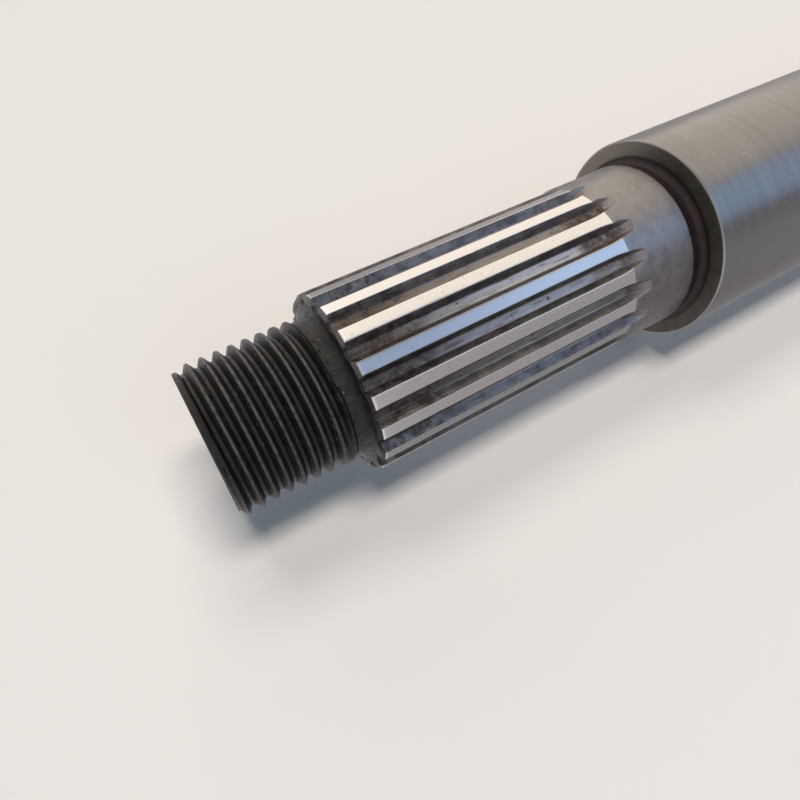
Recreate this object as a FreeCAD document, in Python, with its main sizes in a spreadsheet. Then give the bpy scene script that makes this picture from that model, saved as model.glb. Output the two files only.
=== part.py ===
import FreeCAD, Part
import math
import os

import Sketcher

# Drive shaft, turned and ground from one bar: a ground journal, a relieved shoulder, a neck,
# a straight-sided spline and a right-hand fine thread.
#
# The frame: +Z runs along the axis from the plain end, which stands on z = 0, to the threaded
# end. A groove of the spline is centred on +X. Lengths are in millimetres, angles in degrees.

# Driving dimensions, each written once: name, value, meaning
SIZES = [
    ("journal_diameter", 25.0, "ground seat behind the shoulder"),
    ("journal_length", 122.2, "from the plain end to the shoulder"),
    ("foot_chamfer", 1.0, "on the rim of the plain end"),
    ("shoulder_chamfer", 0.3, "on the rim of the shoulder"),
    ("relief_width", 2.0, "undercut between the shoulder and the neck"),
    ("relief_depth", 0.4, "of the undercut below the neck"),
    ("relief_radius", 0.8, "fillet that rises from the undercut to the shoulder"),
    ("neck_rise", 0.15, "of the turned stretch behind the spline, above the lands"),
    ("neck_length", 8.2, "from the undercut to the step down to the lands"),
    ("neck_step", 0.3, "length of the cone down to the ground lands"),
    ("land_diameter", 20.0, "ground over the tops of the teeth"),
    ("land_length", 32.9, "from the neck's step to the spline's front face"),
    ("land_width", 1.3, "across the top of one tooth"),
    ("tooth_count", 18, "teeth of the spline"),
    ("tooth_height", 1.0, "from a groove's floor to the lands"),
    ("flank_angle", 30.0, "lean of a groove's side from its middle"),
    ("even_groove_length", 31.0, "of full depth, from the spline's front face"),
    ("cutter_radius", 8.0, "of the arc by which a groove runs out"),
    ("run_out_angle", 45.0, "swept by that arc"),
    ("cutter_overrun", 1.0, "how far a cutter reaches past the surface that it opens"),
    ("face_chamfer", 0.4, "on the front ends of the teeth"),
    ("stub_diameter", 15.2, "plain stretch between the thread and the spline"),
    ("stub_length", 0.6, "of that plain stretch"),
    ("stub_fillet", 1.5, "radius that rises from it to the spline's front face"),
    ("thread_diameter", 16.0, "over the crests of the thread"),
    ("thread_length", 12.3, "from the end face to the last crest"),
    ("thread_pitch", 1.5, "from crest to crest"),
    ("thread_depth", 0.92, "from crest to root"),
    ("thread_root_flat", 0.25, "across the thread's root"),
    ("thread_start", 0.465, "where the thread's groove starts, above the end face at +X"),
    ("thread_flank_angle", 30.0, "lean of a thread flank from square"),
    ("lead_chamfer", 0.8, "on the rim of the threaded end"),
    ("centre_mouth_diameter", 6.7, "of the turning centre in each end"),
    ("centre_pilot_diameter", 3.15, "of the hole at the tip of a centre's cone"),
    ("centre_pilot_depth", 6.5, "of that hole, from the end face"),
    ("centre_half_angle", 30.0, "of a centre's cone"),
]

# Radii and heights of the turned profile, as expressions in the sheet's names
JOURNAL_R = "Sizes.journal_diameter / 2"
LAND_R = "Sizes.land_diameter / 2"
ROOT_R = f"({LAND_R} - Sizes.tooth_height)"
NECK_R = f"({LAND_R} + Sizes.neck_rise)"
RELIEF_R = f"({NECK_R} - Sizes.relief_depth)"
STUB_R = "Sizes.stub_diameter / 2"
THREAD_R = "Sizes.thread_diameter / 2"

SHOULDER_Z = "Sizes.journal_length"
NECK_Z = f"({SHOULDER_Z} + Sizes.relief_width)"
STEP_Z = f"({NECK_Z} + Sizes.neck_length)"
LAND_Z = f"({STEP_Z} + Sizes.neck_step)"
FACE_Z = f"({LAND_Z} + Sizes.land_length)"
STUB_Z = f"({FACE_Z} + Sizes.stub_fillet)"
THREAD_Z = f"({STUB_Z} + Sizes.stub_length)"
END_Z = f"({THREAD_Z} + Sizes.thread_length)"

# A sketch's own origin and axes, and the ends of its lines and arcs, by number
ORIGIN_POINT = (-1, 1)
AXES = {"DistanceX": -2, "DistanceY": -1}
START, FINISH = 1, 2

# Which way an arc turns on its way to the next point of an outline
LEFT, RIGHT = 1, -1

FULL_TURN = 360.0


def fill_sheet(doc):
    """The spreadsheet of driving dimensions, one row and one alias for each."""
    sheet = doc.addObject("Spreadsheet::Sheet", "Sizes")
    for row, (alias, value, meaning) in enumerate(SIZES, start=1):
        sheet.set(f"A{row}", alias)
        sheet.set(f"B{row}", str(value))
        sheet.set(f"C{row}", meaning)
        sheet.setAlias(f"B{row}", alias)
    doc.recompute()
    return sheet


def number(sheet, expression):
    """What an expression comes to, as a plain number."""
    result = sheet.evalExpression(expression)
    return float(getattr(result, "Value", result))


def new_sketch(body, name, plane_role):
    """An empty sketch on one of the body's own origin planes."""
    sketch = body.newObject("Sketcher::SketchObject", name)
    for feature in body.Origin.OriginFeatures:
        if feature.Role == plane_role:
            sketch.AttachmentSupport = (feature, [""])
    sketch.MapMode = "FlatFace"
    return sketch


def fix_point(sketch, sheet, geometry, end, across, up):
    """Holds a sketch point at two expressions, measured from the sketch's origin."""
    for kind, expression in (("DistanceX", across), ("DistanceY", up)):
        if expression == "0":
            sketch.addConstraint(Sketcher.Constraint("PointOnObject", geometry, end, AXES[kind]))
            continue
        value = number(sheet, expression)
        index = sketch.addConstraint(Sketcher.Constraint(kind, *ORIGIN_POINT, geometry, end, value))
        sketch.setExpression(f"Constraints[{index}]", expression)


def draw_outline(sketch, sheet, steps, closed=True):
    """Joins steps (across, up, radius, way) by lines, or by an arc where a step has a radius."""
    points = [FreeCAD.Vector(number(sheet, step[0]), number(sheet, step[1]), 0) for step in steps]
    count = len(steps) if closed else len(steps) - 1
    ends = []
    for index in range(count):
        target = (index + 1) % len(steps)
        start, finish = points[index], points[target]
        radius = steps[target][2] if len(steps[target]) > 2 else None
        if radius is None:
            geometry = sketch.addGeometry(Part.LineSegment(start, finish), False)
            ends.append((geometry, START, FINISH))
            continue
        way = steps[target][3]
        length = number(sheet, radius)
        chord = finish - start
        height = math.sqrt(max(length ** 2 - (chord.Length / 2) ** 2, 0.0))
        left = FreeCAD.Vector(-chord.y, chord.x, 0).normalize()
        centre = (start + finish) * 0.5 + left * (height * way)
        first, last = (start, finish) if way == LEFT else (finish, start)
        angles = [math.atan2(point.y - centre.y, point.x - centre.x) for point in (first, last)]
        circle = Part.Circle(centre, FreeCAD.Vector(0, 0, 1), length)
        geometry = sketch.addGeometry(Part.ArcOfCircle(circle, *angles), False)
        constraint = sketch.addConstraint(Sketcher.Constraint("Radius", geometry, length))
        sketch.setExpression(f"Constraints[{constraint}]", radius)
        ends.append((geometry, START, FINISH) if way == LEFT else (geometry, FINISH, START))
    for index in range(count):
        geometry, start_end, finish_end = ends[index]
        fix_point(sketch, sheet, geometry, start_end, steps[index][0], steps[index][1])
        if index + 1 < count or closed:
            next_geometry, next_start, _ = ends[(index + 1) % count]
            joint = Sketcher.Constraint("Coincident", geometry, finish_end, next_geometry, next_start)
            sketch.addConstraint(joint)
        else:
            fix_point(sketch, sheet, geometry, finish_end, steps[-1][0], steps[-1][1])


def turned_profile(body, sheet):
    """The whole shaft turned about Z, before the spline, the thread and the centres."""
    steps = [
        ("0", "0"),
        (f"{JOURNAL_R} - Sizes.foot_chamfer", "0"),
        (JOURNAL_R, "Sizes.foot_chamfer"),
        (JOURNAL_R, f"{SHOULDER_Z} - Sizes.shoulder_chamfer"),
        (f"{JOURNAL_R} - Sizes.shoulder_chamfer", SHOULDER_Z),
        (f"{RELIEF_R} + Sizes.relief_radius", SHOULDER_Z),
        (RELIEF_R, f"{SHOULDER_Z} + Sizes.relief_radius", "Sizes.relief_radius", RIGHT),
        (RELIEF_R, f"{NECK_Z} - Sizes.relief_depth"),
        (NECK_R, NECK_Z),
        (NECK_R, STEP_Z),
        (LAND_R, LAND_Z),
        (LAND_R, f"{FACE_Z} - Sizes.face_chamfer"),
        (f"{LAND_R} - Sizes.face_chamfer", FACE_Z),
        (f"{STUB_R} + Sizes.stub_fillet", FACE_Z),
        (STUB_R, STUB_Z, "Sizes.stub_fillet", RIGHT),
        (STUB_R, f"{THREAD_Z} - ({THREAD_R} - {STUB_R})"),
        (THREAD_R, THREAD_Z),
        (THREAD_R, f"{END_Z} - Sizes.lead_chamfer"),
        (f"{THREAD_R} - Sizes.lead_chamfer", END_Z),
        ("0", END_Z),
    ]
    sketch = new_sketch(body, "TurnedProfile", "XZ_Plane")
    draw_outline(sketch, sheet, steps)
    body.Document.recompute()
    revolution = body.newObject("PartDesign::Revolution", "Turned")
    revolution.Profile = sketch
    revolution.ReferenceAxis = (sketch, ["V_Axis"])
    revolution.Angle = FULL_TURN
    body.Document.recompute()
    return revolution


def turning_centre(body, sheet, name, face_z, inward):
    """A pilot hole and its cone, sunk on the axis from an end face."""
    mouth_r = "Sizes.centre_mouth_diameter / 2"
    pilot_r = "Sizes.centre_pilot_diameter / 2"
    cone_depth = f"({mouth_r} - {pilot_r}) / tan(Sizes.centre_half_angle)"
    steps = [
        ("0", face_z),
        (mouth_r, face_z),
        (pilot_r, f"{face_z} {inward} {cone_depth}"),
        (pilot_r, f"{face_z} {inward} Sizes.centre_pilot_depth"),
        ("0", f"{face_z} {inward} Sizes.centre_pilot_depth"),
    ]
    sketch = new_sketch(body, name + "Profile", "XZ_Plane")
    draw_outline(sketch, sheet, steps)
    body.Document.recompute()
    groove = body.newObject("PartDesign::Groove", name)
    groove.Profile = sketch
    groove.ReferenceAxis = (sketch, ["V_Axis"])
    groove.Angle = FULL_TURN
    body.Document.recompute()
    return groove


def spline_grooves(body, sheet):
    """One groove cut along the shaft, let out on the cutter's arc, and its copies round Z."""
    gap_angle = "(180 deg / Sizes.tooth_count - asin(Sizes.land_width / Sizes.land_diameter))"
    mouth_x = f"{LAND_R} * cos({gap_angle})"
    mouth_y = f"{LAND_R} * sin({gap_angle})"
    lean = "tan(Sizes.flank_angle)"
    floor_y = f"({mouth_y} - ({mouth_x} - {ROOT_R}) * {lean})"
    top_x = f"({LAND_R} + {NECK_R} - {ROOT_R} + Sizes.cutter_overrun)"
    top_y = f"({floor_y} + ({top_x} - {ROOT_R}) * {lean})"
    section_steps = [
        (ROOT_R, f"-{floor_y}"),
        (top_x, f"-{top_y}"),
        (top_x, top_y),
        (ROOT_R, floor_y),
    ]
    path_start = f"{FACE_Z} + Sizes.cutter_overrun"
    even_end = f"{FACE_Z} - Sizes.even_groove_length"
    path_steps = [
        (ROOT_R, path_start),
        (ROOT_R, even_end),
        (f"{ROOT_R} + Sizes.cutter_radius * (1 - cos(Sizes.run_out_angle))",
         f"{even_end} - Sizes.cutter_radius * sin(Sizes.run_out_angle)",
         "Sizes.cutter_radius", LEFT),
    ]
    section = new_sketch(body, "GrooveSection", "XY_Plane")
    section.setExpression("AttachmentOffset.Base.z", path_start)
    draw_outline(section, sheet, section_steps)
    path = new_sketch(body, "GroovePath", "XZ_Plane")
    draw_outline(path, sheet, path_steps, closed=False)
    body.Document.recompute()
    groove = body.newObject("PartDesign::SubtractivePipe", "Groove")
    groove.Profile = section
    groove.Spine = (path, ["Edge1", "Edge2"])
    body.Document.recompute()
    pattern = body.newObject("PartDesign::PolarPattern", "Spline")
    pattern.Originals = [groove]
    pattern.Axis = (section, ["N_Axis"])
    pattern.Angle = FULL_TURN
    pattern.setExpression("Occurrences", "Sizes.tooth_count")
    body.Tip = pattern
    body.Document.recompute()
    return pattern


def thread(body, sheet):
    """A right-hand V groove wound along the threaded end."""
    root_r = f"({THREAD_R} - Sizes.thread_depth)"
    top_r = f"({THREAD_R} + Sizes.cutter_overrun)"
    root_half = "Sizes.thread_root_flat / 2"
    top_half = f"({root_half} + ({top_r} - {root_r}) * tan(Sizes.thread_flank_angle))"
    middle = f"({END_Z} + Sizes.thread_start)"
    steps = [
        (root_r, f"{middle} - {root_half}"),
        (top_r, f"{middle} - {top_half}"),
        (top_r, f"{middle} + {top_half}"),
        (root_r, f"{middle} + {root_half}"),
    ]
    sketch = new_sketch(body, "ThreadSection", "XZ_Plane")
    draw_outline(sketch, sheet, steps)
    body.Document.recompute()
    helix = body.newObject("PartDesign::SubtractiveHelix", "Thread")
    helix.Profile = sketch
    helix.ReferenceAxis = (sketch, ["V_Axis"])
    helix.Mode = "pitch-height-angle"
    helix.setExpression("Pitch", "Sizes.thread_pitch")
    helix.setExpression("Height", "Sizes.thread_length + Sizes.thread_start")
    helix.Reversed = True
    helix.LeftHanded = False
    body.Document.recompute()
    return helix


def check(doc, body, features):
    """Stops before anything is written if a feature failed, cut nothing or left no sound solid."""
    for item in doc.Objects:
        if "Invalid" in item.State or "Error" in item.State:
            raise RuntimeError(f"{item.Name} failed: {item.State}")
    for before, after in zip(features, features[1:]):
        if after.Shape.Volume >= before.Shape.Volume:
            raise RuntimeError(f"{after.Name} took nothing off")
    shape = body.Shape
    if shape.isNull() or not shape.isValid() or len(shape.Solids) != 1:
        raise RuntimeError("the shaft isn't one sound solid")


def build():
    doc = FreeCAD.newDocument("DriveShaft")
    sheet = fill_sheet(doc)
    body = doc.addObject("PartDesign::Body", "DriveShaft")
    body.Label = "drive_shaft"
    features = [
        turned_profile(body, sheet),
        turning_centre(body, sheet, "FootCentre", "0", "+"),
        turning_centre(body, sheet, "EndCentre", END_Z, "-"),
        spline_grooves(body, sheet),
        thread(body, sheet),
    ]
    check(doc, body, features)
    os.makedirs("parts", exist_ok=True)
    body.Shape.exportStep(f"parts/{body.Label}.step")
    for feature in features:
        print(feature.Name, "leaves", round(feature.Shape.Volume, 1), "mm3")


build()
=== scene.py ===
import math

import bmesh
import bpy
import numpy as np
from mathutils import Matrix, Vector


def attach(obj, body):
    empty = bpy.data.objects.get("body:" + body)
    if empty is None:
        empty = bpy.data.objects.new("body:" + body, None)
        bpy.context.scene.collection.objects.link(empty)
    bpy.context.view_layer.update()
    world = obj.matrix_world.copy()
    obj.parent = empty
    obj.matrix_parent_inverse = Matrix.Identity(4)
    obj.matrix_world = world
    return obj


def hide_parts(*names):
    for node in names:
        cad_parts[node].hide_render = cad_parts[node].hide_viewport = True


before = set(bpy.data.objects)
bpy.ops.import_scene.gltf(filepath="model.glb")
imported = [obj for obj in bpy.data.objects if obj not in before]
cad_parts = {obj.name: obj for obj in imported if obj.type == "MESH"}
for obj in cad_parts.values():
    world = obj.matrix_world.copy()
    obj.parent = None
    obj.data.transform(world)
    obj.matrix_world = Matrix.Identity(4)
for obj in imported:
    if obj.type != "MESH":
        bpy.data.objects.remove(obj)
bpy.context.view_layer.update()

# Sizes in millimetres. Depth is measured along the axis from the threaded end, so that the
# plain end lies at depth LENGTH, on z = 0. Azimuths grow from +X towards +Y.
MM = 0.001
LENGTH = 180.0
TEETH = 18
LAND_R, ROOT_R, LAND_WIDTH = 10.0, 9.0, 1.3
FLANK = math.tan(math.radians(33.0))
THREAD_FLANK = math.tan(math.radians(30.0))
NECK_R, NECK_LIP_R, RELIEF_R = 10.15, 10.22, 9.75
JOURNAL_R = 12.5
THREAD_R, STUB_R = 8.0, 7.6
STUB_END_DEPTH, STUB_FILLET = 12.9, 1.5
FACE_DEPTH = 14.4
CUTTER_R, EVEN_GROOVE_END = 8.0, 45.1
SHOULDER_DEPTH, RELIEF_FILLET = 57.8, 0.8
PITCH, THREAD_DEPTH, ROOT_FLAT, LEAD = 1.5, 0.78, 0.16, 0.85
END_DEPTH = 0.22
# Depth of the first groove's middle at +X, and where the last groove fades out
THREAD_PHASE = 1.035
FADE_FROM, FADE_TO = 11.93, 12.30
# Azimuth at which the turns of the helix are joined, on the side turned away from the camera
SEAM = 90.0
# Rounding of a tooth's edges and of a groove's corners, for each millimetre of the groove's depth
EDGE_ROUNDING, ROOT_ROUNDING = 0.055, 0.20
# Azimuth of the shaft's uppermost line as it lies in the photograph
TOP_AZIMUTH = -55.7


def smooth(value, low, high):
    """0 below low, 1 above high, and an even curve between."""
    t = np.clip((np.asarray(value, float) - low) / (high - low), 0.0, 1.0)
    return t * t * (3.0 - 2.0 * t)


# The section of the spline

def rounded(corner, before, after, radius):
    """Three points that round a corner between two unit directions."""
    turn = math.acos(max(-1.0, min(1.0, before[0] * after[0] + before[1] * after[1])))
    run = radius * math.tan(turn / 2)
    a = (corner[0] - before[0] * run, corner[1] - before[1] * run)
    b = (corner[0] + after[0] * run, corner[1] + after[1] * run)
    middle = (a[0] / 4 + corner[0] / 2 + b[0] / 4, a[1] / 4 + corner[1] / 2 + b[1] / 4)
    return [a, middle, b]


def half_groove(floor_x, outer):
    """Half a groove and half a tooth in section, from the groove's middle to the tooth's."""
    gap = math.pi / TEETH - math.asin(LAND_WIDTH / 2 / LAND_R)
    floor_half = LAND_R * math.sin(gap) - (LAND_R * math.cos(gap) - ROOT_R) * FLANK
    size = max(min(outer - floor_x, 1.0), 0.001)
    along = (math.cos(math.atan(FLANK)), math.sin(math.atan(FLANK)))
    low, high = 0.0, 0.5
    for _ in range(40):
        angle = (low + high) / 2
        side = floor_half + (outer * math.cos(angle) - floor_x) * FLANK
        if outer * math.sin(angle) < side:
            low = angle
        else:
            high = angle
    mouth = (outer * math.cos(low), outer * math.sin(low))
    tangent = (-math.sin(low), math.cos(low))
    root = rounded((floor_x, floor_half), (0.0, 1.0), along, ROOT_ROUNDING * size)
    edge = rounded(mouth, along, tangent, EDGE_ROUNDING * size)
    flank = ((root[-1][0] + edge[0][0]) / 2, (root[-1][1] + edge[0][1]) / 2)
    start = math.atan2(edge[-1][1], edge[-1][0])
    rest = math.pi / TEETH - start
    land = [(outer * math.cos(start + rest * t), outer * math.sin(start + rest * t)) for t in (0.2, 0.6, 1.0)]
    points = [(floor_x, 0.0), (floor_x, floor_half * 0.45), *root, flank, *edge, *land]
    held = []
    for x, y in points:
        scale = min(1.0, outer / math.hypot(x, y))
        held.append((x * scale, y * scale))
    return held


def section(floor_x, outer):
    """Radius and azimuth of every column round one section."""
    half = [(math.hypot(x, y), math.atan2(y, x)) for x, y in half_groove(floor_x, outer)]
    step = 2 * math.pi / TEETH
    period = half + [(r, step - a) for r, a in reversed(half[1:-1])]
    radius = np.array([r for r, _ in period] * TEETH)
    azimuth = np.concatenate([np.array([a for _, a in period]) + k * step for k in range(TEETH)])
    return radius, azimuth


def in_degrees(azimuth):
    """Azimuths in degrees, up to the seam's and from there a full turn lower."""
    degrees = np.degrees(azimuth)
    return np.where(degrees > SEAM, degrees - 360.0, degrees)


AZIMUTH = section(ROOT_R, LAND_R)[1]
COLUMNS = len(AZIMUTH)
DEGREES = in_degrees(AZIMUTH)


# Small knocks in the surface, in millimetres and degrees

THREAD_DENTS = [
    # depth, azimuth, half length, half angle, how deep
    (4.25, -66.5, 0.20, 2.2, 0.16),
    (3.70, -73.0, 0.16, 1.6, 0.10),
    (4.95, -79.5, 0.18, 1.6, 0.10),
    (2.15, -60.0, 0.12, 6.0, 0.07),
    (5.45, -77.1, 0.12, 1.3, 0.08),
    (9.30, -140.5, 0.14, 1.8, 0.10),
    (6.65, -104.0, 0.12, 1.4, 0.08),
    (8.10, -50.0, 0.12, 1.6, 0.08),
    (0.66, -112.0, 0.10, 3.0, 0.08),
    (11.15, -118.0, 0.12, 2.0, 0.07),
]
LAND_DENTS = [
    (16.2, -93.1, 0.28, 0.9, 0.10),
    (14.9, -107.5, 0.30, 1.0, 0.06),
    (24.6, -74.0, 0.25, 0.7, 0.05),
    (31.3, -53.6, 0.35, 0.6, 0.05),
    (38.2, -93.4, 0.30, 0.6, 0.05),
    (21.0, -133.6, 0.30, 0.8, 0.05),
    (15.0, -66.4, 0.25, 0.9, 0.06),
]


def dents(marks, depth, azimuth_degrees):
    """How far the surface is pulled in by the small knocks at each point."""
    total = np.zeros_like(depth)
    for d, a, half_d, half_a, deep in marks:
        total += deep * np.exp(-((depth - d) / half_d) ** 2 - ((azimuth_degrees - a) / half_a) ** 2)
    return total


# The threaded end

def thread_end(degrees):
    """Depth at which the thread's outer surface stops; it wanders where the groove fades."""
    return 12.27 + 0.33 * smooth(2.4 - degrees, 88.0, 106.0)


def thread_radius(depth, degrees):
    """Radius of the threaded end: its blank, or the groove's flanks where they lie deeper."""
    outer = np.minimum(THREAD_R, THREAD_R - LEAD + depth - END_DEPTH)
    end = thread_end(degrees)
    outer = np.where(depth > end, THREAD_R - (depth - end), outer)
    outer = np.maximum(outer, STUB_R)
    shifted = depth - THREAD_PHASE + PITCH * degrees / 360.0
    turn = np.round(shifted / PITCH)
    across = np.abs(shifted - turn * PITCH)
    middle = THREAD_PHASE - PITCH * degrees / 360.0 + turn * PITCH
    deep = THREAD_DEPTH * (1.0 - smooth(middle, FADE_FROM, FADE_TO))
    groove = THREAD_R - deep + np.maximum(across - ROOT_FLAT, 0.0) / THREAD_FLANK
    groove = np.where(deep < 0.01, 99.0, groove)
    near = np.clip(1.0 - np.abs(groove - outer) / 0.09, 0.0, 1.0)
    worn_edge = 0.022 * near ** 2
    knocks = dents(THREAD_DENTS, depth, degrees) * (groove > outer - 0.25)
    return np.minimum(outer, groove) - worn_edge - knocks


# The mesh, ring by ring from the middle of the threaded end to the plain end

class Builder:
    """Points and faces of the shaft, laid as rings round its axis."""

    def __init__(self):
        self.points = []
        self.faces = []
        self.zones = []
        self.last = None

    def lay(self, radius, depth, azimuth=AZIMUTH):
        radius = np.broadcast_to(np.asarray(radius, float), (COLUMNS,))
        depth = np.broadcast_to(np.asarray(depth, float), (COLUMNS,))
        start = len(self.points)
        x = radius * np.cos(azimuth)
        y = radius * np.sin(azimuth)
        self.points.extend(zip(x * MM, y * MM, (LENGTH - depth) * MM))
        return start

    def join(self, a, b, zone):
        for j in range(COLUMNS):
            n = (j + 1) % COLUMNS
            self.faces.append((a + j, b + j, b + n, a + n))
            self.zones.append(zone)

    def ring(self, radius, depth, zone, azimuth=AZIMUTH):
        start = self.lay(radius, depth, azimuth)
        if self.last is not None:
            self.join(self.last, start, zone)
        self.last = start


def shaft_mesh():
    b = Builder()
    for r, d in ((0.002, 6.5), (1.5, 6.5), (1.575, 6.42), (1.575, 3.2), (1.62, 3.0), (2.4, 1.65),
                 (3.28, 0.33), (3.36, 0.25), (3.45, END_DEPTH), (5.5, END_DEPTH), (7.0, END_DEPTH),
                 (7.11, END_DEPTH)):
        b.ring(r, d, "end")
    for d in np.arange(END_DEPTH + 0.05, 1.08, 0.075):
        depth = np.full(COLUMNS, d)
        b.ring(thread_radius(depth, DEGREES), depth, "black")

    # Rings that follow the helix; past the seam the same height is one turn further on
    steps = (-0.665, -0.625, -0.155, -0.10, 0.10, 0.155, 0.625, 0.665, 0.75)
    offsets = [turn * PITCH + step for turn in range(-2, 10) for step in steps]
    end = thread_end(DEGREES)
    rows = [np.clip(THREAD_PHASE + o - PITCH * DEGREES / 360.0, 1.09, end) for o in offsets]
    starts = [b.lay(thread_radius(row, DEGREES), row) for row in rows]
    seam = int(np.argmax(np.degrees(AZIMUTH) > SEAM)) - 1
    for k in range(len(rows) - 1):
        for j in range(COLUMNS):
            n = (j + 1) % COLUMNS
            shift = len(steps) if j == seam else 0
            ka, kb = min(k + shift, len(rows) - 1), min(k + 1 + shift, len(rows) - 1)
            if (rows[k][j] == rows[k + 1][j]) and (rows[ka][n] == rows[kb][n]):
                continue
            b.faces.append((starts[k] + j, starts[k + 1] + j, starts[kb] + n, starts[ka] + n))
            b.zones.append("black")
    return b, end


def face_rings(b, end):
    """The stub, its fillet, the spline's front face and the chamfer on the teeth."""
    first = b.lay(thread_radius(end, DEGREES), end)
    b.last = first
    for t in (0.02, 0.10, 0.22, 0.32, 0.40):
        b.ring(thread_radius(end + t, DEGREES), end + t, "black")
    b.ring(STUB_R, STUB_END_DEPTH, "black")
    for angle in (12, 24, 36, 48, 60, 72, 82, 90):
        a = math.radians(angle)
        r = STUB_R + STUB_FILLET * (1 - math.cos(a))
        d = STUB_END_DEPTH + STUB_FILLET * math.sin(a)
        radius, azimuth = section(ROOT_R, r)
        b.ring(radius, d, "black", azimuth)
    for r, d in ((9.3, FACE_DEPTH), (9.56, FACE_DEPTH), (9.61, 14.42), (9.64, 14.45), (9.93, 14.74)):
        radius, azimuth = section(ROOT_R, r)
        b.ring(radius, d, "black", azimuth)
    for r, d in ((9.97, 14.78), (9.995, 14.86), (10.0, 15.0)):
        radius, azimuth = section(ROOT_R, r)
        b.ring(radius, d, "spline", azimuth)


def spline_rings(b):
    """The even length of the grooves, and their run-out on the cutter's arc."""
    plain = [15.5, 16.0, 16.5, 17.5, 19.0, 20.6, 21.0, 21.4, 24.2, 24.6, 25.0, 27.0, 30.8, 31.3, 31.8, 34.5,
             37.8, 38.2, 38.6, 42.0, EVEN_GROOVE_END]
    for d in plain:
        radius, azimuth = section(ROOT_R, LAND_R)
        top = smooth(radius, 9.8, 9.99)
        knocks = top * dents(LAND_DENTS, np.full(COLUMNS, d), in_degrees(azimuth))
        b.ring(radius - knocks, d, "spline", azimuth)
    for run in (0.6, 1.2, 1.7, 1.9, 2.1, 2.3, 2.7, 3.1, 3.4, 3.65, 3.85, 4.0, 4.08, 4.13, 4.2):
        d = EVEN_GROOVE_END + run
        outer = LAND_R + (NECK_R - LAND_R) * float(np.clip((d - 47.3) / 0.3, 0, 1))
        floor_x = ROOT_R + CUTTER_R - math.sqrt(CUTTER_R ** 2 - run ** 2)
        radius, azimuth = section(min(floor_x, outer - 0.0005), outer)
        b.ring(radius, d, "spline" if d < 47.35 else "run_out", azimuth)


def neck_and_journal_rings(b):
    """The neck, the undercut, the shoulder, the journal and the centre in the plain end."""
    for r, d in ((NECK_R, 50.6), (NECK_R, 53.0), (10.18, 54.6), (NECK_LIP_R, 55.6), (NECK_LIP_R, 55.72)):
        b.ring(r, d, "neck")
    for r, d in ((10.20, 55.80), (10.14, 55.88), (9.80, 56.18), (RELIEF_R, 56.26), (RELIEF_R, 56.6)):
        b.ring(r, d, "shoulder")
    for angle in (0, 12, 24, 36, 48, 60, 72, 84, 90):
        a = math.radians(angle)
        rise, back = RELIEF_FILLET * (1 - math.cos(a)), RELIEF_FILLET * (1 - math.sin(a))
        b.ring(RELIEF_R + rise, SHOULDER_DEPTH - back, "shoulder")
    for r in (10.62, 11.4, 12.1, 12.28):
        b.ring(r, SHOULDER_DEPTH, "shoulder")
    for r, d in ((12.34, SHOULDER_DEPTH), (12.40, 57.83), (12.47, 57.90), (12.495, 57.96),
                 (JOURNAL_R, 58.04), (JOURNAL_R, 60.0), (JOURNAL_R, 70.0), (JOURNAL_R, 90.0),
                 (JOURNAL_R, 130.0), (JOURNAL_R, 178.9), (12.49, 179.0), (12.46, 179.05)):
        b.ring(r, d, "journal")
    for r, d in ((11.56, 179.95), (11.52, 179.99), (11.45, LENGTH), (7.0, LENGTH), (3.45, LENGTH),
                 (3.36, 179.97), (3.28, 179.87), (2.4, 178.35), (1.62, 177.0), (1.575, 176.8),
                 (1.575, 173.58), (1.5, 173.5), (0.002, 173.5)):
        b.ring(r, d, "end")


PERIOD = COLUMNS // TEETH
# Columns of one period between which the surface is a tooth top, edges included
TOP_FIRST, TOP_LAST = 6, PERIOD - 7


def surface_of(zone, column):
    """The material name of a face, from its zone and its column."""
    if zone not in ("spline", "run_out"):
        return zone
    on_top = TOP_FIRST <= column % PERIOD <= TOP_LAST
    if zone == "spline":
        return "land" if on_top else "groove"
    return "neck" if on_top else "groove"


def make_shaft(materials):
    b, end = shaft_mesh()
    face_rings(b, end)
    spline_rings(b)
    neck_and_journal_rings(b)
    mesh = bpy.data.meshes.new("shaft")
    mesh.from_pydata([tuple(p) for p in b.points], [], b.faces)
    names = list(materials)
    for name in names:
        mesh.materials.append(materials[name])
    index = [names.index(surface_of(zone, face[0] % COLUMNS)) for face, zone in zip(b.faces, b.zones)]
    mesh.polygons.foreach_set("material_index", index)
    mesh.polygons.foreach_set("use_smooth", [True] * len(index))
    mesh.update()
    shaft = bpy.data.objects.new("shaft", mesh)
    bpy.context.scene.collection.objects.link(shaft)
    work = bmesh.new()
    work.from_mesh(mesh)
    bmesh.ops.remove_doubles(work, verts=work.verts, dist=2e-7)
    bmesh.ops.dissolve_degenerate(work, dist=1e-7, edges=work.edges)
    loose = [v for v in work.verts if not v.link_faces]
    bmesh.ops.delete(work, geom=loose, context="VERTS")
    bmesh.ops.recalc_face_normals(work, faces=work.faces)
    work.to_mesh(mesh)
    work.free()
    mesh.set_sharp_from_angle(angle=math.radians(38.0))
    return shaft


# The materials

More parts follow.
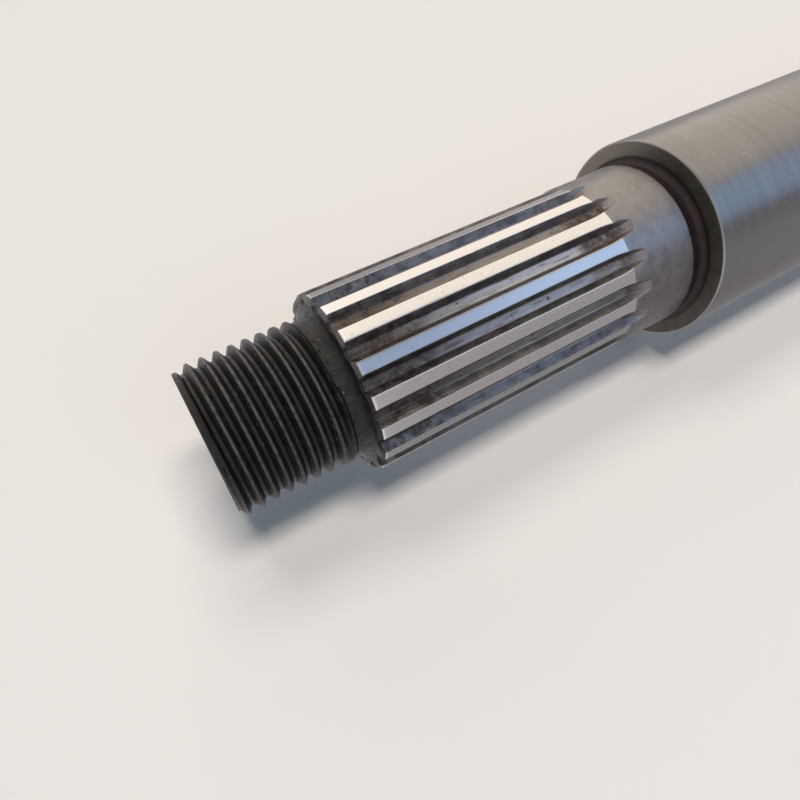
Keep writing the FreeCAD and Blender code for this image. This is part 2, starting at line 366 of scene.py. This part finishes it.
class Tree:
    """Short ways to add nodes to a material."""

    def __init__(self, name):
        self.material = bpy.data.materials.new(name)
        self.material.use_nodes = True
        self.tree = self.material.node_tree
        self.tree.nodes.clear()
        self.output = self.tree.nodes.new("ShaderNodeOutputMaterial")
        self.shader = self.tree.nodes.new("ShaderNodeBsdfPrincipled")
        self.tree.links.new(self.shader.outputs["BSDF"], self.output.inputs["Surface"])
        place = self.tree.nodes.new("ShaderNodeTexCoord")
        scaled = self.tree.nodes.new("ShaderNodeVectorMath")
        scaled.operation = "SCALE"
        scaled.inputs["Scale"].default_value = 1000.0
        self.tree.links.new(place.outputs["Object"], scaled.inputs[0])
        self.mm = scaled.outputs["Vector"]
        parts = self.tree.nodes.new("ShaderNodeSeparateXYZ")
        self.tree.links.new(self.mm, parts.inputs[0])
        self.x, self.y, self.z = parts.outputs
        self.depth = self.math("SUBTRACT", LENGTH, self.z)
        self.azimuth = self.math("MULTIPLY", self.math("ARCTAN2", self.y, self.x), 180.0 / math.pi)
        across = self.math("MULTIPLY", self.x, self.x)
        up = self.math("MULTIPLY", self.y, self.y)
        self.radius = self.math("SQRT", self.math("ADD", across, up))
        turned = self.math("WRAP", self.math("SUBTRACT", self.azimuth, TOP_AZIMUTH), 180.0, -180.0)
        self.from_top = self.math("ABSOLUTE", turned)

    def put(self, socket, value):
        if isinstance(value, bpy.types.NodeSocket):
            self.tree.links.new(value, socket)
        else:
            socket.default_value = value

    def math(self, operation, a, b=0.0, c=0.0):
        node = self.tree.nodes.new("ShaderNodeMath")
        node.operation = operation
        self.put(node.inputs[0], a)
        self.put(node.inputs[1], b)
        self.put(node.inputs[2], c)
        return node.outputs[0]

    def vector(self, x, y, z):
        node = self.tree.nodes.new("ShaderNodeCombineXYZ")
        for socket, value in zip(node.inputs, (x, y, z)):
            self.put(socket, value)
        return node.outputs[0]

    def round_the_axis(self, along, around):
        """Coordinates with their own scale along the axis and round it."""
        return self.vector(self.math("MULTIPLY", self.depth, along),
                           self.math("MULTIPLY", self.x, around), self.math("MULTIPLY", self.y, around))

    def noise(self, scale, detail=3.0, rough=0.55, where=None):
        node = self.tree.nodes.new("ShaderNodeTexNoise")
        self.put(node.inputs["Vector"], self.mm if where is None else where)
        node.inputs["Scale"].default_value = scale
        node.inputs["Detail"].default_value = detail
        node.inputs["Roughness"].default_value = rough
        return node.outputs[0]

    def between(self, value, low, high, to_low=0.0, to_high=1.0):
        node = self.tree.nodes.new("ShaderNodeMapRange")
        node.interpolation_type = "SMOOTHSTEP"
        self.put(node.inputs["Value"], value)
        for key, number in (("From Min", low), ("From Max", high), ("To Min", to_low), ("To Max", to_high)):
            self.put(node.inputs[key], number)
        return node.outputs["Result"]

    def band(self, value, low, high, soft):
        """1 between low and high, with soft ends."""
        rise = self.between(value, low - soft, low + soft)
        fall = self.between(value, high - soft, high + soft, 1.0, 0.0)
        return self.math("MULTIPLY", rise, fall)

    def colour(self, factor, a, b):
        node = self.tree.nodes.new("ShaderNodeMix")
        node.data_type = "RGBA"
        node.clamp_factor = True
        self.put(node.inputs[0], factor)
        self.put(node.inputs[6], (*a, 1.0) if isinstance(a, tuple) else a)
        self.put(node.inputs[7], (*b, 1.0) if isinstance(b, tuple) else b)
        return node.outputs[2]

    def bump(self, height, distance_mm):
        node = self.tree.nodes.new("ShaderNodeBump")
        node.inputs["Strength"].default_value = 1.0
        node.inputs["Distance"].default_value = distance_mm * MM
        self.put(node.inputs["Height"], height)
        self.put(self.shader.inputs["Normal"], node.outputs["Normal"])

    def finish(self, colour, rough, metal):
        self.put(self.shader.inputs["Base Color"], colour)
        self.put(self.shader.inputs["Roughness"], rough)
        self.put(self.shader.inputs["Metallic"], metal)
        return self.material


def black_oxide():
    """Dark film on the thread, the stub and the spline's front face, worn at the crests."""
    t = Tree("black_oxide")
    mottle = t.between(t.noise(0.9, 5.0), 0.35, 0.7)
    base = t.colour(mottle, (0.006, 0.005, 0.004), (0.016, 0.014, 0.011))
    stub = t.between(t.depth, 12.4, 13.0)
    cloudy = t.between(t.noise(0.55, 5.0), 0.36, 0.62, 0.10, 0.70)
    base = t.colour(t.math("MULTIPLY", stub, cloudy), base, (0.026, 0.025, 0.019))
    # Painted light: the outer part of the spline's front face and the teeth's chamfers are painted paler from
    # azimuth -84 round past the top, and stay dark from -104 down.
    lit_rim = t.math("MULTIPLY", t.between(t.radius, 9.20, 9.45), t.between(t.azimuth, -104.0, -84.0))
    base = t.colour(t.math("MULTIPLY", lit_rim, 0.8), base, (0.120, 0.116, 0.102))
    crest = t.math("MULTIPLY", t.between(t.radius, 7.915, 7.972), t.between(t.depth, 12.75, 12.6))
    worn = t.math("MULTIPLY", crest, t.between(t.noise(1.6, 4.0), 0.30, 0.62, 0.30, 1.0))
    base = t.colour(t.math("MULTIPLY", worn, 0.55), base, (0.115, 0.110, 0.102))
    speck = t.between(t.noise(3.4, 2.0), 0.725, 0.75)
    base = t.colour(t.math("MULTIPLY", speck, 0.8), base, (0.34, 0.33, 0.31))
    grime = t.between(t.noise(2.2, 5.0, 0.7), 0.56, 0.70)
    base = t.colour(t.math("MULTIPLY", grime, 0.7), base, (0.012, 0.011, 0.010))
    rough = t.between(t.noise(2.1, 3.0), 0.3, 0.7, 0.42, 0.60)
    t.bump(t.math("ADD", t.noise(6.0, 4.0), t.math("MULTIPLY", t.noise(1.7, 3.0), 1.5)), 0.03)
    return t.finish(base, rough, 0.45)


def groove_steel():
    """Milled grooves with dirt, blotches and rust, mostly at their two ends, and painted light and a painted
    reflection on their floors.
    """
    t = Tree("groove_steel")
    mottle = t.between(t.noise(0.55, 5.0), 0.33, 0.68)
    base = t.colour(mottle, (0.085, 0.078, 0.074), (0.165, 0.152, 0.143))
    floor = t.between(t.radius, 9.20, 9.07)
    # The floors are darker near the front face and paler from depth 16 to 36.
    bright = t.colour(t.between(t.depth, 16.0, 36.0), (0.080, 0.068, 0.062), (0.300, 0.288, 0.275))
    # Painted light: from depth 16 on, the floors on the azimuths -108 to -70 are painted paler still, most of
    # all above -86.
    lit = t.math("MULTIPLY", t.band(t.azimuth, -108.0, -70.0, 3.0), t.between(t.depth, 16.0, 36.0))
    share = t.between(t.azimuth, -94.0, -86.0, 0.45, 0.90)
    bright = t.colour(t.math("MULTIPLY", lit, share), bright, (0.480, 0.480, 0.485))
    # On the upper side, from azimuth -70 round to 90, the floors are painted darker and browner.
    upper = t.math("MULTIPLY", t.between(t.azimuth, -72.0, -68.0), t.between(t.azimuth, 120.0, 60.0))
    bright = t.colour(t.math("MULTIPLY", upper, 0.40), bright, (0.170, 0.128, 0.110))
    base = t.colour(t.math("MULTIPLY", floor, 0.80), base, bright)
    broken = t.between(t.noise(0.9, 4.0), 0.35, 0.55, 0.3, 1.0)
    line = t.math("MULTIPLY", t.band(t.azimuth, -67.6, -64.6, 0.7), broken)
    base = t.colour(t.math("MULTIPLY", line, 0.7), base, (0.085, 0.036, 0.026))
    streak = t.between(t.noise(1.0, 5.0, 0.65, where=t.round_the_axis(0.35, 3.2)), 0.50, 0.66)
    base = t.colour(t.math("MULTIPLY", streak, 0.55), base, (0.050, 0.036, 0.030))
    # Painted reflection: where the grooves run out towards the neck, their floors are painted paler, towards
    # the neck's tone.
    run_out = t.between(t.depth, 45.9, 48.6)
    base = t.colour(t.math("MULTIPLY", run_out, 0.75), base, (0.225, 0.210, 0.198))
    front = t.band(t.depth, 14.9, 21.0, 1.6)
    rear = t.band(t.depth, 42.6, 48.6, 1.0)
    spots = t.between(t.noise(0.85, 6.0, 0.70), 0.44, 0.58)
    blotch = t.math("MULTIPLY", t.band(t.depth, 14.0, 22.5, 1.8), spots)
    base = t.colour(t.math("MULTIPLY", blotch, 0.78), base, (0.026, 0.021, 0.019))
    patch = t.between(t.noise(1.1, 6.0, 0.70), 0.33, 0.50)
    where = t.math("MAXIMUM", t.math("MULTIPLY", front, 0.38), rear)
    rust = t.math("MULTIPLY", t.math("MULTIPLY", where, patch), t.between(t.radius, 9.90, 9.45, 0.3, 1.0))
    fade = t.band(t.azimuth, -96.0, -50.0, 12.0)
    rust = t.math("MULTIPLY", rust, t.math("ADD", 0.25, t.math("MULTIPLY", fade, 0.75)))
    rusty = t.colour(t.between(t.noise(1.9, 4.0), 0.40, 0.60), (0.030, 0.019, 0.014), (0.098, 0.056, 0.036))
    base = t.colour(t.math("MULTIPLY", rust, 0.90), base, rusty)
    green = t.math("MULTIPLY", t.math("MULTIPLY", front, t.between(t.noise(2.1, 4.0), 0.55, 0.68)), 0.5)
    base = t.colour(green, base, (0.105, 0.100, 0.050))
    speck = t.between(t.noise(2.4, 3.0), 0.64, 0.70)
    base = t.colour(t.math("MULTIPLY", speck, 0.75), base, (0.022, 0.017, 0.015))
    pit = t.math("MULTIPLY", t.band(t.depth, 36.3, 36.6, 0.14), t.band(t.azimuth, -101.2, -99.0, 0.8))
    base = t.colour(t.math("MULTIPLY", pit, 0.9), base, (0.012, 0.010, 0.012))
    rough = t.math("ADD", 0.36, t.math("MULTIPLY", rust, 0.30))
    marks = t.noise(1.0, 3.0, where=t.round_the_axis(2.6, 0.5))
    t.bump(t.math("ADD", marks, t.math("MULTIPLY", t.noise(5.0, 4.0), 0.6)), 0.02)
    metal = t.math("SUBTRACT", 0.85, t.math("MULTIPLY", rust, 0.6))
    return t.finish(base, rough, metal)


def land_steel():
    """Ground tops of the teeth, some painted darker by azimuth as painted shade."""
    t = Tree("land_steel")
    grain = t.noise(1.0, 3.0, where=t.round_the_axis(14.0, 3.0))
    base = t.colour(t.between(grain, 0.3, 0.7), (0.585, 0.570, 0.550), (0.650, 0.635, 0.615))
    stain = t.between(t.noise(1.5, 5.0), 0.60, 0.72)
    base = t.colour(t.math("MULTIPLY", stain, 0.22), base, (0.20, 0.15, 0.12))
    # Painted shade: the tops are painted darker on the upper side (azimuth above -40) and in a band round
    # -90, more towards the front face, and on the lower side, most from 90 to 100 degrees from the top.
    front = t.between(t.depth, 42.0, 16.0)
    upper = t.math("MULTIPLY", t.between(t.azimuth, -42.0, -36.0),
                   t.math("ADD", 0.28, t.math("MULTIPLY", front, 0.26)))
    middle = t.math("MULTIPLY", t.band(t.azimuth, -99.0, -81.0, 2.0),
                    t.math("ADD", 0.25, t.math("MULTIPLY", front, 0.45)))
    lower = t.math("MULTIPLY", t.between(t.from_top, 76.0, 92.0, 0.0, 0.48),
                   t.between(t.from_top, 122.0, 96.0, 0.2, 1.0))
    painted_shade = t.math("MAXIMUM", t.math("MAXIMUM", upper, middle), lower)
    base = t.colour(painted_shade, base, (0.190, 0.180, 0.175))
    rough = t.between(grain, 0.3, 0.7, 0.21, 0.28)
    t.bump(grain, 0.0012)
    return t.finish(base, rough, 1.0)


def neck_steel():
    """Turned neck behind the spline, and where the grooves run out through it."""
    t = Tree("neck_steel")
    mottle = t.between(t.noise(0.7, 5.0), 0.3, 0.7)
    base = t.colour(mottle, (0.205, 0.193, 0.184), (0.262, 0.250, 0.240))
    stain = t.between(t.noise(1.9, 4.0), 0.62, 0.74)
    base = t.colour(t.math("MULTIPLY", stain, 0.6), base, (0.11, 0.075, 0.055))
    # Painted shade: the neck is painted a little darker from 62 degrees from the top downwards.
    lower = t.between(t.from_top, 62.0, 75.0, 0.0, 0.12)
    base = t.colour(lower, base, (0.110, 0.100, 0.096))
    lines = t.noise(1.0, 2.0, where=t.round_the_axis(9.0, 0.25))
    t.bump(t.math("ADD", lines, t.math("MULTIPLY", t.noise(4.0, 4.0), 0.7)), 0.012)
    return t.finish(base, t.between(mottle, 0.0, 1.0, 0.36, 0.46), 0.95)


def journal_steel():
    """Ground journal, with fine lines round it."""
    t = Tree("journal_steel")
    lines = t.noise(1.0, 4.0, 0.7, where=t.round_the_axis(9.0, 0.10))
    wide = t.noise(1.0, 2.0, where=t.round_the_axis(0.9, 0.05))
    mix = t.math("ADD", t.math("MULTIPLY", lines, 0.5), t.math("MULTIPLY", wide, 0.5))
    base = t.colour(t.between(mix, 0.3, 0.7), (0.185, 0.179, 0.172), (0.225, 0.216, 0.206))
    line = t.band(t.depth, 61.04, 61.16, 0.05)
    base = t.colour(t.math("MULTIPLY", line, 0.25), base, (0.12, 0.115, 0.11))
    stain = t.between(t.noise(0.5, 5.0), 0.58, 0.74)
    base = t.colour(t.math("MULTIPLY", stain, 0.35), base, (0.19, 0.135, 0.105))
    # Painted light: the journal is painted paler in strips 48 to 96 degrees either side of the top.
    pale = t.math("MULTIPLY", t.between(t.from_top, 48.0, 62.0, 0.0, 0.9), t.between(t.from_top, 96.0, 68.0))
    base = t.colour(pale, base, (0.290, 0.286, 0.280))
    smear = t.between(t.noise(1.0, 5.0, 0.7, where=t.round_the_axis(0.55, 1.3)), 0.62, 0.72)
    base = t.colour(t.math("MULTIPLY", smear, 0.45), base, (0.46, 0.44, 0.40))
    t.bump(lines, 0.0022)
    return t.finish(base, t.math("ADD", 0.30, t.math("MULTIPLY", smear, 0.25)), 1.0)


def shoulder_steel():
    """Face of the shoulder and the dark undercut at its foot."""
    t = Tree("shoulder_steel")
    mottle = t.between(t.noise(0.8, 5.0), 0.3, 0.7)
    base = t.colour(mottle, (0.056, 0.053, 0.041), (0.086, 0.081, 0.064))
    # Painted light: the shoulder face is painted paler from azimuth -15 to 60, fading out towards -64 and
    # 120, the side the lamps light.
    lit = t.math("MULTIPLY", t.between(t.azimuth, -64.0, -15.0), t.between(t.azimuth, 120.0, 60.0))
    base = t.colour(t.math("MULTIPLY", lit, 0.85), base, (0.270, 0.245, 0.195))
    relief = t.between(t.radius, 10.9, 10.5)
    base = t.colour(relief, base, (0.014, 0.008, 0.007))
    patch = t.math("MULTIPLY", t.between(t.radius, 10.9, 10.3), t.between(t.noise(0.7, 5.0), 0.45, 0.65))
    base = t.colour(t.math("MULTIPLY", patch, 0.5), base, (0.036, 0.015, 0.011))
    t.bump(t.noise(1.0, 3.0, where=t.round_the_axis(5.0, 0.5)), 0.008)
    return t.finish(base, 0.52, 0.4)


def end_steel():
    """Both end faces and the turning centres in them."""
    t = Tree("end_steel")
    mottle = t.between(t.noise(0.7, 5.0), 0.3, 0.7)
    base = t.colour(mottle, (0.10, 0.096, 0.092), (0.17, 0.165, 0.158))
    dark = t.between(t.depth, 60.0, 20.0)
    base = t.colour(t.math("MULTIPLY", dark, 0.85), base, (0.020, 0.019, 0.019))
    ring = t.math("SINE", t.math("MULTIPLY", t.radius, 26.0))
    t.bump(t.math("ADD", ring, t.noise(3.0, 3.0)), 0.006)
    return t.finish(base, 0.42, 0.9)


# Camera, stage and light, laid out from the photograph

CAMERA_AT = Vector((-1.798, -61.372, 179.779)) * MM
RIGHT = Vector((-0.43413, -0.29613, -0.85079))
DOWN = Vector((-0.89987, 0.09858, 0.42487))
FORWARD = Vector((-0.04194, 0.95005, -0.30927))
FOCAL_PIXELS, IMAGE_PIXELS, SENSOR = 596.06, 800.0, 36.0
# The way up from the surface that the shaft lies against, and the way away from the camera
UP = Vector((0.5635, -0.8261, 0.0)).normalized()
BACK = Vector((0.8261, 0.5635, 0.0)).normalized()


def make_camera():
    data = bpy.data.cameras.new("camera")
    camera = bpy.data.objects.new("camera", data)
    bpy.context.scene.collection.objects.link(camera)
    turn = Matrix((RIGHT, -DOWN, -FORWARD)).transposed()
    camera.matrix_world = Matrix.Translation(CAMERA_AT) @ turn.to_4x4()
    data.sensor_width = SENSOR
    data.lens = FOCAL_PIXELS * SENSOR / IMAGE_PIXELS
    data.clip_start = 0.001
    data.clip_end = 20.0
    bpy.context.scene.camera = camera


def stage_material(name, see_through, glow):
    """Pale paper with a little light of its own; where see_through, it is seen only from its front."""
    material = bpy.data.materials.new(name)
    material.use_nodes = True
    tree = material.node_tree
    shader = tree.nodes["Principled BSDF"]
    shader.inputs["Base Color"].default_value = (0.80, 0.77, 0.73, 1.0)
    shader.inputs["Roughness"].default_value = 0.80
    shader.inputs["Specular IOR Level"].default_value = 0.0
    shader.inputs["Emission Color"].default_value = (1.0, 0.94, 0.90, 1.0)
    shader.inputs["Emission Strength"].default_value = glow
    if see_through:
        output = tree.nodes["Material Output"]
        facing = tree.nodes.new("ShaderNodeNewGeometry")
        clear = tree.nodes.new("ShaderNodeBsdfTransparent")
        mix = tree.nodes.new("ShaderNodeMixShader")
        tree.links.new(facing.outputs["Backfacing"], mix.inputs[0])
        tree.links.new(shader.outputs[0], mix.inputs[1])
        tree.links.new(clear.outputs[0], mix.inputs[2])
        tree.links.new(mix.outputs[0], output.inputs["Surface"])
    return material


def sheet(name, corners, material):
    mesh = bpy.data.meshes.new(name)
    mesh.from_pydata([tuple(c) for c in corners], [], [tuple(range(len(corners)))])
    mesh.materials.append(material)
    made = bpy.data.objects.new(name, mesh)
    bpy.context.scene.collection.objects.link(made)
    return made


def make_stage():
    wide, tall, gap = 1.0, 0.8, 0.00005
    foot = -UP * (JOURNAL_R * MM + gap)
    corners = [foot - BACK * wide, foot + BACK * wide, foot + BACK * wide + Vector((0, 0, tall)),
               foot - BACK * wide + Vector((0, 0, tall))]
    wall = sheet("backdrop", corners, stage_material("backdrop_paper", True, 0.03))
    if wall.data.polygons[0].normal.dot(UP) < 0:
        wall.data.flip_normals()
    wall.visible_glossy = False
    low = -gap
    ground = [Vector((-wide, -wide, low)), Vector((wide, -wide, low)), Vector((wide, wide, low)),
              Vector((-wide, wide, low))]
    floor = sheet("ground", ground, stage_material("ground_paper", False, 0.38))
    floor.visible_glossy = False
    floor.visible_diffuse = False
    floor.visible_shadow = False


# Point on the axis at which the lamps are aimed
AIM = Vector((0, 0, 0.15))


def area_light(name, towards, distance, size, size_along, power, colour, shows):
    """A rectangular light that shines at the shaft from a direction, its long side along the axis.

    shows is "light" for one that only lights the scene and "gleam" for one that only the metal mirrors.
    """
    data = bpy.data.lights.new(name, "AREA")
    data.shape = "RECTANGLE"
    data.size, data.size_y = size, size_along
    data.energy = power
    data.color = colour
    light = bpy.data.objects.new(name, data)
    bpy.context.scene.collection.objects.link(light)
    along = Vector((0, 0, 1))
    z = towards.normalized()
    y = (along - z * along.dot(z)).normalized()
    turn = Matrix((y.cross(z), y, z)).transposed().to_4x4()
    light.matrix_world = Matrix.Translation(AIM + z * distance) @ turn
    light.visible_glossy = shows == "gleam"
    light.visible_diffuse = shows == "light"


def at_azimuth(degrees, rise):
    """Direction from the shaft, by azimuth and by degrees above level."""
    a, e = math.radians(degrees), math.radians(rise)
    return Vector((math.cos(a) * math.cos(e), math.sin(a) * math.cos(e), math.sin(e)))


def make_light():
    """Lamps by name, direction, distance, width, length, power, colour and use, and the room round them."""
    area_light("lamp", at_azimuth(-64.0, -5.0), 1.50, 0.34, 0.70, 14.3, (1.0, 0.915, 0.845), "light")
    area_light("key", at_azimuth(-31.0, -5.0), 1.50, 0.46, 0.90, 6.4, (1.0, 0.975, 0.950), "light")
    area_light("side", at_azimuth(3.0, -5.0), 1.50, 0.80, 1.20, 2.9, (1.0, 0.98, 0.96), "light")
    area_light("front", at_azimuth(-110.0, -5.0), 1.50, 0.90, 1.20, 5.4, (0.46, 0.70, 1.0), "light")
    area_light("window", at_azimuth(-20.0, -24.0), 0.60, 0.86, 1.10, 2.95, (1.0, 0.90, 0.74), "gleam")
    area_light("sky", at_azimuth(-92.0, -24.0), 0.70, 0.35, 1.20, 1.55, (0.32, 0.58, 1.0), "gleam")
    world = bpy.data.worlds.new("room")
    bpy.context.scene.world = world
    world.use_nodes = True
    tree = world.node_tree
    path = tree.nodes.new("ShaderNodeLightPath")
    room = tree.nodes["Background"]
    room.inputs["Color"].default_value = (0.60, 0.75, 1.0, 1.0)
    room.inputs["Strength"].default_value = 0.07
    dim = tree.nodes.new("ShaderNodeBackground")
    dim.inputs["Color"].default_value = (0.53, 0.50, 0.525, 1.0)
    # What the metal mirrors is dim from below, brighter from the level upwards, and brighter
    # towards the paper that runs on behind the shaft
    place = tree.nodes.new("ShaderNodeTexCoord")
    parts = tree.nodes.new("ShaderNodeSeparateXYZ")
    behind = tree.nodes.new("ShaderNodeVectorMath")
    behind.operation = "DOT_PRODUCT"
    behind.inputs[1].default_value = BACK
    paper = tree.nodes.new("ShaderNodeMapRange")
    paper.interpolation_type = "SMOOTHSTEP"
    for key, number in (("From Min", 0.45), ("From Max", 0.95), ("To Min", 1.0), ("To Max", 1.30)):
        paper.inputs[key].default_value = number
    strength = tree.nodes.new("ShaderNodeMath")
    strength.operation = "MULTIPLY"
    level = tree.nodes.new("ShaderNodeMapRange")
    level.interpolation_type = "SMOOTHSTEP"
    for key, number in (("From Min", -0.30), ("From Max", -0.06), ("To Min", 0.86), ("To Max", 1.80)):
        level.inputs[key].default_value = number
    tree.links.new(place.outputs["Generated"], parts.inputs[0])
    tree.links.new(parts.outputs["Z"], level.inputs["Value"])
    tree.links.new(place.outputs["Generated"], behind.inputs[0])
    tree.links.new(behind.outputs["Value"], paper.inputs["Value"])
    tree.links.new(level.outputs["Result"], strength.inputs[0])
    tree.links.new(paper.outputs["Result"], strength.inputs[1])
    tree.links.new(strength.outputs[0], dim.inputs["Strength"])
    white = tree.nodes.new("ShaderNodeBackground")
    white.inputs["Color"].default_value = (0.86, 0.84, 0.82, 1.0)
    last = room.outputs[0]
    for flag, other in (("Is Glossy Ray", dim), ("Is Camera Ray", white)):
        mix = tree.nodes.new("ShaderNodeMixShader")
        tree.links.new(path.outputs[flag], mix.inputs[0])
        tree.links.new(last, mix.inputs[1])
        tree.links.new(other.outputs[0], mix.inputs[2])
        last = mix.outputs[0]
    tree.links.new(last, tree.nodes["World Output"].inputs["Surface"])


MATERIALS = {
    "black": black_oxide(), "land": land_steel(), "groove": groove_steel(), "neck": neck_steel(),
    "journal": journal_steel(), "shoulder": shoulder_steel(), "end": end_steel(),
}
shaft = make_shaft(MATERIALS)
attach(shaft, "root")
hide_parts("drive_shaft")
make_stage()
make_light()
make_camera()
bpy.context.scene.view_settings.view_transform = "Standard"

print("triangles", sum(len(p.vertices) - 2 for p in shaft.data.polygons))
